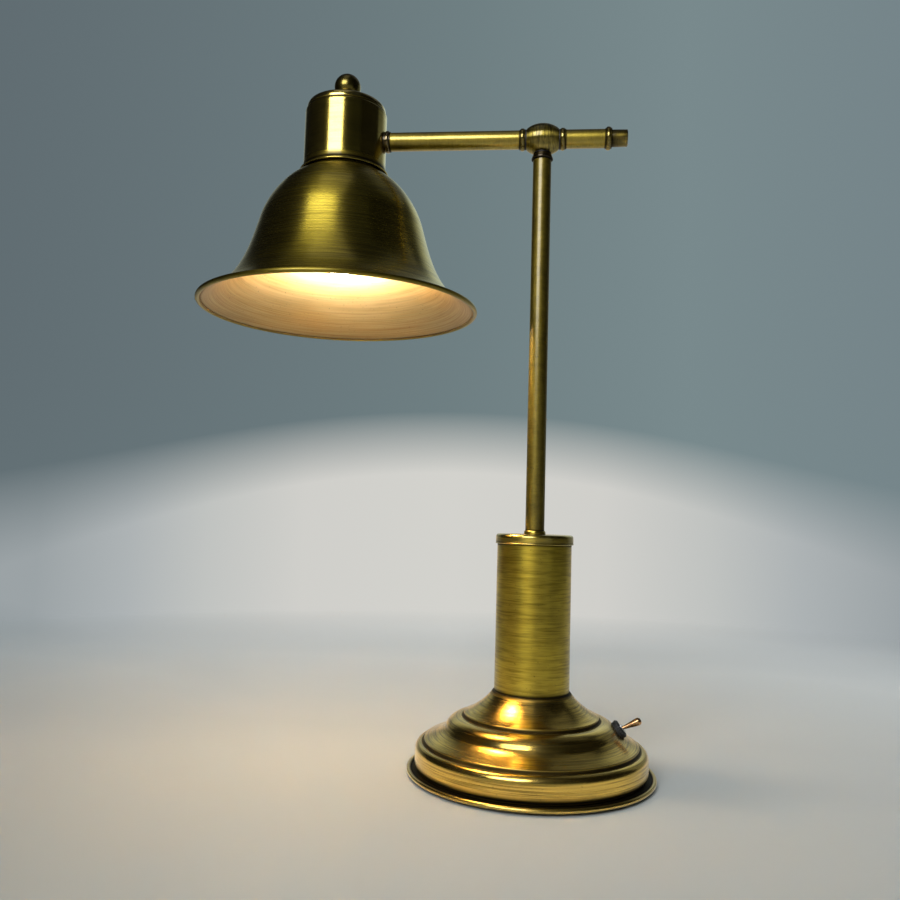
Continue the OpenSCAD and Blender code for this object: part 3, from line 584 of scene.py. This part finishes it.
def make_arm():
    turned = brass("brass_turned", axis="X", rough=0.26, bands=0.5, brushed=0.7, polish=0.3,
                   tint=(0.26, 0.195, 0.035), deep=(0.12, 0.09, 0.016), seed=31)
    spots = [("arm_bead_left", "arm_collar_left", -COLLAR_X - COLLAR_W, BEAD_R, COLLAR_W, TUBE_R),
             ("arm_bead_right", "arm_collar_right", COLLAR_X, BEAD_R, COLLAR_W, TUBE_R),
             ("tail_bead_ring", "tail_bead", TAIL_X, TAIL_BEAD_R, TAIL_BEAD_W, NIPPLE_R)]
    for name, node, x, r, width, inner in spots:
        marks = [(SHOULDER_R, 0, 0.75), (SHOULDER_R, width, 0.75)]
        ob = lathe(name, bead(r, width, inner), ARM_AXIS + Vector((x * MM, 0, 0)), "X", 96,
                   dark=marks)
        dress(ob, "head", [node], "antique_brass", turned)
    sunk = 0.9
    cup_bead = bead(BEAD_R, CUP_BEAD_W, CUP_BEAD_BORE_R)
    cup_bead = [(CUP_BEAD_BORE_R, -sunk), (SHOULDER_R, -sunk)] + cup_bead[1:]
    marks = [(SHOULDER_R, -sunk, 1.2), (SHOULDER_R, CUP_BEAD_W, 0.75)]
    ob = lathe("cup_bead_ring", cup_bead, ARM_AXIS + Vector(((ARM_END - CUP_BEAD_W) * MM, 0, 0)),
               "X", 96, dark=marks)
    dress(ob, "head", ["cup_collar"], "antique_brass",
          brass("brass_dark", axis="X", rough=0.2, bands=0.5, tint=(0.16, 0.11, 0.025),
                deep=(0.05, 0.036, 0.012), seed=33))
    plug_end = TAIL_BEAD_W + PLUG_LEN
    plug = eased([(0, -PLUG_SEAT), (BORE_R, -PLUG_SEAT), (BORE_R, 0), (NIPPLE_R, 0),
                  (NIPPLE_R, TAIL_BEAD_W), (PLUG_R, TAIL_BEAD_W), (PLUG_R, plug_end),
                  (0, plug_end)], 0.45)
    ob = lathe("tail_plug_end", plug, ARM_AXIS + Vector((TAIL_X * MM, 0, 0)), "X", 96,
               closed=False, dark=[(PLUG_R, TAIL_BEAD_W, 0.9)])
    dress(ob, "head", ["tail_plug"], "antique_brass", turned)
    bare = COLLAR_X + COLLAR_W
    marks = [(TUBE_R, ARM_END, 0.5), (TUBE_R, TAIL_X, 0.6), (TUBE_R, bare, 0.6),
             (TUBE_R, -bare, 0.6)]
    stops = sorted([ARM_END, TAIL_X]
                   + [s * (bare + k) for s in (-1, 1) for k in (-0.8, 0, 0.4, 0.8, 1.4)]
                   + [ARM_END + k for k in (0.3, 0.8)] + [TAIL_X - k for k in (0.3, 0.8)])
    tube = [(TUBE_R, x) for x in stops] + [(BORE_R, x) for x in reversed(stops)]
    arm = lathe("arm_shell", tube, ARM_AXIS, "X", 96, dark=marks)
    deep = 14
    drilled(arm, ((0, 0, ARM_Z - deep / 2), (0, 0, 1), WINDOW_R, deep))
    dress(arm, "head", ["arm_tube"], "antique_brass",
          brass("brass_arm", axis="X", rough=0.34, bands=0.7, brushed=0.4, aniso=0.0, polish=0.35,
                lacquer_rough=0.2, tint=(0.41, 0.31, 0.038), deep=(0.21, 0.155, 0.018), seed=37))


def make_cup():
    wall = ([(ROD_R, CUP_TOP)] + arc((CUP_R - 1.8, CUP_TOP - 1.8), 1.8, 90, 0, 10)
            + [(CUP_R, LIP_Z + LIP_FLARE + 4)]
            + curve((CUP_R, LIP_Z + LIP_FLARE), (CUP_R, LIP_Z + 1.3), (CUP_R + 0.7, LIP_Z + 0.6),
                    (LIP_R - LIP_BEAD, LIP_Z + 0.45), 12))
    lip = arc((LIP_R - LIP_BEAD, LIP_Z), LIP_BEAD, 130, -108, 18)
    outline = wall[:-1] + lip + shifted(wall, DRAWN_T)[::-1]
    # Dark marks on the flare and under the lip: partly tarnish, partly painted shade
    marks = [(CUP_R, LIP_Z + 2.4, 1.4), (CUP_R + 0.8, LIP_Z + 0.9, 1.0),
             (LIP_R - 0.9, LIP_Z - 0.5, 0.5)]
    cup = lathe("cup_shell", outline, SHADE_AXIS, dark=marks)
    drilled(cup, ((-REACH + CUP_R, 0, ARM_Z), (1, 0, 0), NIPPLE_R, 10))
    dress(cup, "head", ["socket_cup"], "antique_brass",
          brass("brass_cup", rough=0.18, bands=0.5, brushed=1.1, polish=0.4,
                tint=(0.50, 0.38, 0.05), seed=41))
    lid = ([(ROD_R, LID_TOP)] + curve((LID_R - 6.5, LID_TOP), (LID_R - 1.9, LID_TOP),
           (LID_R, LID_TOP - 1.6), (LID_R, CUP_TOP + 0.9), 18) + [(LID_R, CUP_TOP)])
    ob = lathe("lid_shell", walled(lid, DRAWN_T), SHADE_AXIS,
               dark=[(LID_R, CUP_TOP, 0.7), (8.5, LID_TOP, 0.8)])
    dress(ob, "head", ["cup_lid"], "antique_brass",
          brass("brass_lid", rough=0.20, bands=0.5, brushed=0.8, polish=0.8, seed=43))

    rise, neck, foot = FINIAL_Z - LID_TOP, 5.4, 8.0
    low = -math.acos(neck / FINIAL_R)
    rings = 40
    angles = [low + (math.pi / 2 - low) * i / rings for i in range(1, rings)]
    ball = [(FINIAL_R * math.cos(a), rise + FINIAL_R * math.sin(a)) for a in angles]
    ball.append((0, rise + FINIAL_R))
    knob = ([(0, 4), (ROD_R, 4), (ROD_R, 0), (foot, 0), (foot, 1.2)]
            + curve((7.4, 1.7), (6.2, 2.6), (5.6, 4.6), (neck, rise + FINIAL_R * math.sin(low)), 14)
            + ball)
    knob = [(r, h + LID_TOP) for r, h in knob]
    ob = lathe("finial_knob", knob, SHADE_AXIS, segments=96, closed=False,
               dark=[(7.7, LID_TOP + 0.6, 1.8), (5.6, LID_TOP + 3.5, 3.2)])
    dress(ob, "head", ["finial"], "antique_brass",
          brass("brass_finial", rough=0.28, bands=0.5, brushed=0.4, polish=0.15, aniso=0.0,
                lacquer_rough=0.24, tint=(0.22, 0.17, 0.03), deep=(0.09, 0.07, 0.01), seed=47))


def make_shade():
    z = FLANGE_Z
    head = [(SHADE_HOLE, z)] + arc((NECK_R - 1.4, z - 1.4), 1.4, 90, 0, 8)
    head += arc((NECK_R + 1.6, z - 2.3), 1.6, 180, 262, 8)
    bell = (curve((31.2, z - 4), (41, z - 9.4), (WAIST[0] - 4, z - 23.6), WAIST, 40)
            + curve(WAIST, (WAIST[0] + 5.8, WAIST[1] - 20.5), (68.5, SHADE_LOW + 8.8),
                    (SHADE_R, SHADE_LOW), 64)[1:])
    outer = head + bell
    inner = shifted(outer, DRAWN_T)
    hub = Vector((SHADE_R, SHADE_LOW))
    clear = SHADE_BEAD + 0.05
    outer = [p for p in outer if (Vector(p) - hub).length > clear]
    inner = [p for p in inner if (Vector(p) - hub).length > clear]
    gap = 4  # degrees between the sheet's ends and the roll
    a0 = math.degrees(math.atan2(outer[-1][1] - hub.y, outer[-1][0] - hub.x)) - gap
    a1 = math.degrees(math.atan2(inner[-1][1] - hub.y, inner[-1][0] - hub.x)) + gap
    while a1 > a0:
        a1 -= 360
    roll = arc(tuple(hub), SHADE_BEAD, a0, a1, 26)
    outline = outer + roll + inner[::-1]
    lap = 4  # points of the roll that already have the inside's paler brass
    first = len(outer) + len(roll) - lap
    # Dark marks: painted shade on the crown in the gap under the cup's lip, and on the rolled rim
    # partly tarnish and partly painted shade
    bell_ob = lathe("bell_shade", outline, SHADE_AXIS, segments=224,
                    dark=[(NECK_R, z - 2.3, 1.6), (NECK_R + 3, z - 4, 2.0),
                          (SHADE_R - 2, SHADE_LOW + 1.8, 0.6), (SHADE_R, SHADE_LOW, 1.7)],
                    inside=(first, len(outline)))
    dress(bell_ob, "head", ["shade"], "antique_brass",
          brass("brass_shade", rough=0.24, bands=0.8, brushed=1.3, polish=0.22, aniso=0.75,
                lacquer_rough=0.2, tint=(0.46, 0.35, 0.036), deep=(0.21, 0.158, 0.014), seed=53),
          # The inside is far paler than the outside brass: a lit copy that paints in the bulb's
          # light. It also turns darker towards the rim, as painted shade.
          brass("brass_shade_inside_lit", rough=0.44, bands=0.5, brushed=0.5, polish=0.08, aniso=0.0,
                lacquer_rough=0.3, tint=(0.95, 0.71, 0.37), deep=(0.76, 0.50, 0.20),
                painted_shade_fade=(SHADE_LOW, SHADE_LOW + 27, (0.28, 0.13, 0.022)), seed=59))


def make_bulb():
    line = ([(BULB_NECK, BULB_CAP_LOW + 3), (BULB_NECK, BULB_CAP_LOW - 0.2)]
            + curve((13.1, BULB_CAP_LOW - 0.8), (13.3, BULB_CAP_LOW - 10),
                    (BULB_R, BULB_Z + 20.5), (BULB_R, BULB_Z), 30)
            + arc((0, BULB_Z), BULB_R, 0, -88, 36)[1:])
    inner = shifted(line, GLASS_T)
    low = BULB_Z - BULB_R
    outline = line + [(0, low), (0, low + GLASS_T)] + inner[::-1]
    bulb = lathe("bulb_envelope", outline, SHADE_AXIS, segments=96)
    dress(bulb, "head", ["bulb_glass"], "bulb_glass",
          glowing("bulb_lit", (1.0, 0.93, 0.82), (1.0, 0.86, 0.66), 50.0))


def dress_cad_nodes():
    """Finishes for the CAD nodes that stay, by their material slot."""
    finishes = {
        "antique_brass": brass("brass_cad", axis="X", at=ARM_AXIS, rough=0.34, bands=0.5,
                               brushed=1.7, polish=0.25, aniso=0.9, tint=(0.30, 0.235, 0.045),
                               deep=(0.12, 0.09, 0.014), seed=61),
        "steel": plain("zinc_steel", (0.62, 0.63, 0.64), 0.32, metallic=1.0),
        "iron": plain("cast_iron", (0.045, 0.045, 0.05), 0.7, metallic=0.3, scale=400, amount=0.4,
                      bump_mm=0.2),
        "felt": plain("pressed_felt", (0.03, 0.03, 0.028), 0.95, scale=2600, amount=0.6,
                      bump_mm=0.25),
        "rubber": plain("black_rubber", (0.010, 0.010, 0.010), 0.7, scale=1500),
        "fibre": plain("black_fibre", (0.012, 0.010, 0.009), 0.55, scale=1800),
        "black_plastic": plain("black_moulding", (0.008, 0.008, 0.008), 0.5),
        "bakelite": plain("black_bakelite", (0.02, 0.016, 0.013), 0.28, coat=0.4),
        "nylon": plain("white_nylon", (0.80, 0.78, 0.70), 0.5),
        "lead_sheath": plain("lead_sheath", (0.45, 0.33, 0.14), 0.5),
        "nickel": plain("nickel_plate", (0.70, 0.66, 0.55), 0.25, metallic=1.0),
        "bulb_glass": plain("spare_glass", (0.95, 0.93, 0.88), 0.3),
        "stem_glass": plain("stem_glass", (0.9, 0.95, 0.92), 0.1),
        "filament": glowing("filament_lit", (1.0, 0.8, 0.4), (1.0, 0.6, 0.25), 20.0),
    }
    lever = plain("worn_lever", (0.46, 0.27, 0.13), 0.24, metallic=1.0, scale=700, amount=0.3)
    slots = {p["node"]: p["material_slot"] for p in frame["record"]["subparts"]}
    for node, ob in frame["nodes"].items():
        if ob.hide_render:
            continue
        mesh = ob.data
        mesh.materials.clear()
        mesh.materials.append(lever if node == "switch_lever" else finishes[slots[node]])
        mesh.shade_smooth()
        mesh.set_sharp_from_angle(angle=CAD_SHARP)


# ---- Stage, light and camera ----

# The photo's view leans this much to the left of straight back
VIEW_LEAN = 0.105
# The side on which the room is open, 30 degrees to the right of straight back
OPEN_SIDE = (0.5, 0.866)
# The painted patch of light on the wall: its top, its foot, its fall to the sides, its flat
# crown and the sharpness of its edge
ARCH_RISE, ARCH_FOOT, ARCH_FALL, ARCH_FLAT, ARCH_EDGE = 0.726, 0.03, 7.5, -0.742, 3.2
# The patch is centred this far to the left, as a tangent from the camera's distance, and
# its tones change this fast to the sides
PATCH_LEFT, EYE, PATCH_SPREAD = 0.10, 0.56, 1.8
# Metal mirrors the room in warmer tones than the camera sees
WARM_ROOM = (1.12, 0.97, 0.80)
# The floor round the base, as reflections show it
CLOSE_FLOOR = (0.66, 0.66, 0.62)


def open_side(do, x, y, r):
    """The cosine of the angle between a place's direction and the open side."""
    return do("DIVIDE", do("ADD", do("MULTIPLY", x, OPEN_SIDE[0]),
                           do("MULTIPLY", y, OPEN_SIDE[1])), r)


def floor_with_painted_light(nodes, links, do, x, y, aside):
    """Painted light on the floor: grey at the front, paler behind the lamp and a little darker far
    left.
    """
    near = ramp(nodes, links, do("ADD", y, 0.3),
                [(0.0, (0.30, 0.325, 0.32)), (0.40, (0.43, 0.45, 0.437)),
                 (0.50, (0.52, 0.54, 0.52)), (0.59, (0.62, 0.635, 0.61)),
                 (0.71, (0.79, 0.80, 0.77)), (1.0, (0.90, 0.91, 0.88))])
    far = ramp(nodes, links, do("ADD", x, 0.2),
               [(0.2, (0.44, 0.475, 0.48)), (0.7, (0.72, 0.75, 0.75))])
    floor = mixed(nodes, links, do("MULTIPLY", aside, do("ADD", y, 0.35)), near, far)
    leftward = do("MULTIPLY", x, do("SUBTRACT", 1.0, do("MULTIPLY", y, 2.2)))
    left = ramp(nodes, links, do("ADD", leftward, 0.4), [(0.05, 0.80), (0.24, 1.0)])
    return mixed(nodes, links, 1.0, floor, left, "MULTIPLY")


def wall_colour(nodes, links, do, x, z, toward, aside):
    """A grey-blue wall with a pale arch of light behind the lamp."""
    behind = do("EXPONENT", do("MULTIPLY", do("SUBTRACT", toward, 1.0), ARCH_FALL))
    flatter = do("SUBTRACT", 1.0, do("EXPONENT", do("MULTIPLY", behind, ARCH_FLAT)))
    edge = do("ADD", do("MULTIPLY", flatter, ARCH_RISE), ARCH_FOOT)
    rise = do("ADD", do("MULTIPLY", do("SUBTRACT", z, edge), ARCH_EDGE), 0.5)
    pale = ramp(nodes, links, aside, [(0.0, (0.65, 0.645, 0.61)), (0.32, (0.63, 0.625, 0.595)),
                                      (0.54, (0.53, 0.545, 0.53)), (0.72, (0.42, 0.45, 0.46)),
                                      (0.93, (0.33, 0.365, 0.38))])
    slate = ramp(nodes, links, do("ADD", do("MULTIPLY", x, 0.3), 0.5),
                 [(0.0, (0.118, 0.152, 0.168)), (0.41, (0.158, 0.212, 0.224)),
                  (0.65, (0.190, 0.252, 0.265)), (0.95, (0.175, 0.225, 0.248))])
    return mixed(nodes, links, ramp(nodes, links, rise, [(0.15, 0.0), (0.85, 1.0)]), pale, slate)


def mirrored_room(nodes, links, do, z, toward, rearward):
    """How bright the wall is in reflections: low down, with a halo higher up behind."""
    open_back = ramp(nodes, links, rearward, [(0.68, 0.0), (0.85, 1.0)])
    lift = do("ADD", do("MULTIPLY", do("MAXIMUM", do("SUBTRACT", toward, 0.7), 0.0), 4.0),
              do("MULTIPLY", open_back, 1.4))
    height = ramp(nodes, links, do("SUBTRACT", z, lift), [(0.2, 1.0), (0.6, 0.1)])
    halo = do("MULTIPLY", ramp(nodes, links, toward, [(0.74, 0.0), (0.92, 2.2)]),
              ramp(nodes, links, z, [(0.5, 0.0), (0.8, 1.0)]))
    fall = ramp(nodes, links, do("MULTIPLY", z, 0.4), [(0.72, 1.0), (0.9, 0.0)])
    return do("ADD", height, do("MULTIPLY", halo, fall))


def sweep_material():
    """A real floor near the lamp that turns into a glowing wall farther out. Only the camera
    and reflections see the glow; to all other light the sweep is plain and matt."""
    mat, nodes, links, bsdf = principled("sweep")
    do = calculator(nodes, links)
    coords = nodes.new("ShaderNodeTexCoord")
    split = nodes.new("ShaderNodeSeparateXYZ")
    links.new(coords.outputs["Object"], split.inputs[0])
    x, y, z = split.outputs
    r = do("MAXIMUM", distance(do, x, y), 0.01)
    toward = do("DIVIDE", do("SUBTRACT", y, do("MULTIPLY", x, VIEW_LEAN)), r)
    across = do("DIVIDE", x, do("ADD", do("ABSOLUTE", y), EYE))
    aside = do("MULTIPLY", do("ABSOLUTE", do("ADD", across, PATCH_LEFT)), PATCH_SPREAD)
    rays = nodes.new("ShaderNodeLightPath")
    seen = rays.outputs["Is Camera Ray"]
    mirrored = do("MAXIMUM", rays.outputs["Is Glossy Ray"], rays.outputs["Is Transmission Ray"])

    # The floor's colour has painted light in it: paler behind the lamp, greyer in front and darker
    # far left
    floor = floor_with_painted_light(nodes, links, do, x, y, aside)
    close = do("MULTIPLY", mirrored, ramp(nodes, links, r, [(0.22, 1.0), (0.42, 0.0)]))
    links.new(mixed(nodes, links, close, floor, CLOSE_FLOOR), bsdf.inputs["Base Color"])
    bsdf.inputs["Roughness"].default_value = 0.85
    bsdf.inputs["Specular IOR Level"].default_value = 0.2

    glow = wall_colour(nodes, links, do, x, z, toward, aside)
    warmth = mixed(nodes, links, mirrored, (1.0, 1.0, 1.0), WARM_ROOM)
    level = mirrored_room(nodes, links, do, z, toward, open_side(do, x, y, r))
    shine = nodes.new("ShaderNodeEmission")
    links.new(mixed(nodes, links, 1.0, glow, warmth, "MULTIPLY"), shine.inputs["Color"])
    links.new(do("ADD", seen, do("MULTIPLY", mirrored, level)), shine.inputs["Strength"])
    zone = do("MULTIPLY", ramp(nodes, links, r, [(0.50, 0.0), (0.95, 1.0)]),
              do("ADD", seen, mirrored))
    blend = nodes.new("ShaderNodeMixShader")
    links.new(zone, blend.inputs[0])
    links.new(bsdf.outputs[0], blend.inputs[1])
    links.new(shine.outputs[0], blend.inputs[2])
    links.new(blend.outputs[0], nodes["Material Output"].inputs["Surface"])
    return mat


def make_sweep():
    """A bowl-shaped studio sweep: a pale floor that runs up into the wall."""
    floor_r, bend, wall = 1500.0, 900.0, 2600.0
    line = ([(0, 0), (floor_r, 0)] + arc((floor_r, bend), bend, -90, 0, 24)[1:]
            + [(floor_r + bend, wall)])
    bowl = lathe("studio_sweep", line, segments=96, closed=False)
    bowl.data.materials.append(sweep_material())
    bowl.location.z = -0.1 * MM


def make_cards():
    """Black cards beside the lamp, seen only in its reflections."""
    black, _, _, dull = principled("black_card")
    dull.inputs["Base Color"].default_value = (0.01, 0.01, 0.01, 1)
    dull.inputs["Roughness"].default_value = 1.0
    cards = [("card_left", -1.15, -0.15, 1.5, 0.35, 1.9),
             ("card_right", 1.15, -0.15, 1.5, 0.35, 2.5),
             ("low_card_left", -1.15, -0.15, 1.5, 0.02, 0.35),
             ("low_card_right", 1.15, -0.15, 1.5, 0.02, 0.35),
             ("high_card_left", -1.15, 1.25, 1.3, 1.6, 2.7)]
    for name, x, y, width, low, high in cards:
        bpy.ops.mesh.primitive_plane_add(size=1.0)
        card = bpy.context.object
        card.name = name
        card.scale = (width, high - low, 1)
        card.rotation_euler = (math.radians(90), 0, math.radians(math.copysign(90, -x)))
        card.location = (x, y, (low + high) / 2)
        card.data.materials.append(black)
        card.visible_camera = False
        card.visible_diffuse = False
        card.visible_shadow = False


def area(name, at, aim, width, height, power, shines=True):
    """A soft light. Where shines is false it lights surfaces but shows in no reflection."""
    light = bpy.data.lights.new(name, "AREA")
    light.shape = "RECTANGLE"
    light.size, light.size_y = width, height
    light.energy = power
    ob = bpy.data.objects.new(name, light)
    ob.location = at
    ob.rotation_mode = "QUATERNION"
    ob.rotation_quaternion = (Vector(aim) - Vector(at)).to_track_quat("-Z", "Y")
    ob.visible_camera = False
    ob.visible_glossy = shines
    bpy.context.scene.collection.objects.link(ob)


def make_world():
    """A dim room for soft light, almost black in reflections but for its open side."""
    room, mirror_room = 0.33, 0.03
    world = bpy.data.worlds.new("soft_sky")
    world.use_nodes = True
    nodes, links = world.node_tree.nodes, world.node_tree.links
    do = calculator(nodes, links)
    back = nodes["Background"]
    back.inputs["Color"].default_value = (0.84, 0.91, 0.96, 1)
    rays = nodes.new("ShaderNodeLightPath")
    coords = nodes.new("ShaderNodeTexCoord")
    split = nodes.new("ShaderNodeSeparateXYZ")
    links.new(coords.outputs["Generated"], split.inputs[0])
    x, y, _ = split.outputs
    level = distance(do, x, y)
    rearward = open_side(do, x, y, do("MAXIMUM", level, 0.01))
    glossy = do("MULTIPLY", ramp(nodes, links, rearward, [(0.68, 0.0), (0.85, 0.11)]),
                ramp(nodes, links, level, [(0.3, 0.0), (0.5, 1.0)]))
    dim = do("MULTIPLY", rays.outputs["Is Glossy Ray"], do("ADD", glossy, mirror_room - room))
    links.new(do("ADD", dim, room), back.inputs["Strength"])
    bpy.context.scene.world = world


def make_light():
    area("softbox_front", at=(-0.48, -1.20, 0.98), aim=(-0.13, 0, 0.42),
         width=0.85, height=0.75, power=19)
    area("overhead_strip", at=(-0.30, -0.55, 2.0), aim=(-0.30, -0.2, 0),
         width=0.8, height=1.3, power=0.9)
    area("wash_right", at=(0.90, 0.70, 1.20), aim=(0.35, 0.30, 0),
         width=1.0, height=1.0, power=3.5, shines=False)
    area("fill_front", at=(0.35, -1.50, 0.80), aim=(0, 0, 0.25),
         width=1.0, height=0.9, power=1.5, shines=False)
    area("top_light", at=(0.15, 0.8, 2.0), aim=(0.1, 0.7, 0),
         width=1.6, height=1.6, power=5, shines=False)


def make_camera():
    """The photo's camera: focal length in its pixels, metres and radians."""
    focal, size = 840.0, 900.0
    away, height = 0.55834, 0.16204
    yaw, pitch, roll = -0.10279, 0.08165, 0.02873
    ahead = Vector((math.sin(yaw) * math.cos(pitch), math.cos(yaw) * math.cos(pitch),
                    math.sin(pitch)))
    right = Vector((math.cos(yaw), -math.sin(yaw), 0))
    up = right.cross(ahead)
    right, up = (math.cos(roll) * right + math.sin(roll) * up,
                 math.cos(roll) * up - math.sin(roll) * right)
    camera = bpy.data.cameras.new("camera")
    camera.sensor_width = 36.0
    camera.lens = focal / size * camera.sensor_width
    ob = bpy.data.objects.new("camera", camera)
    turn = Matrix((right, up, -ahead)).transposed()
    ob.matrix_world = Matrix.Translation((0, -away, height)) @ turn.to_4x4()
    bpy.context.scene.collection.objects.link(ob)
    bpy.context.scene.camera = ob


make_camera()
make_base()
make_column()
make_post()
make_arm()
make_cup()
make_shade()
make_bulb()
dress_cad_nodes()
make_sweep()
make_cards()
make_world()
make_light()
bpy.context.scene.view_settings.view_transform = "Standard"
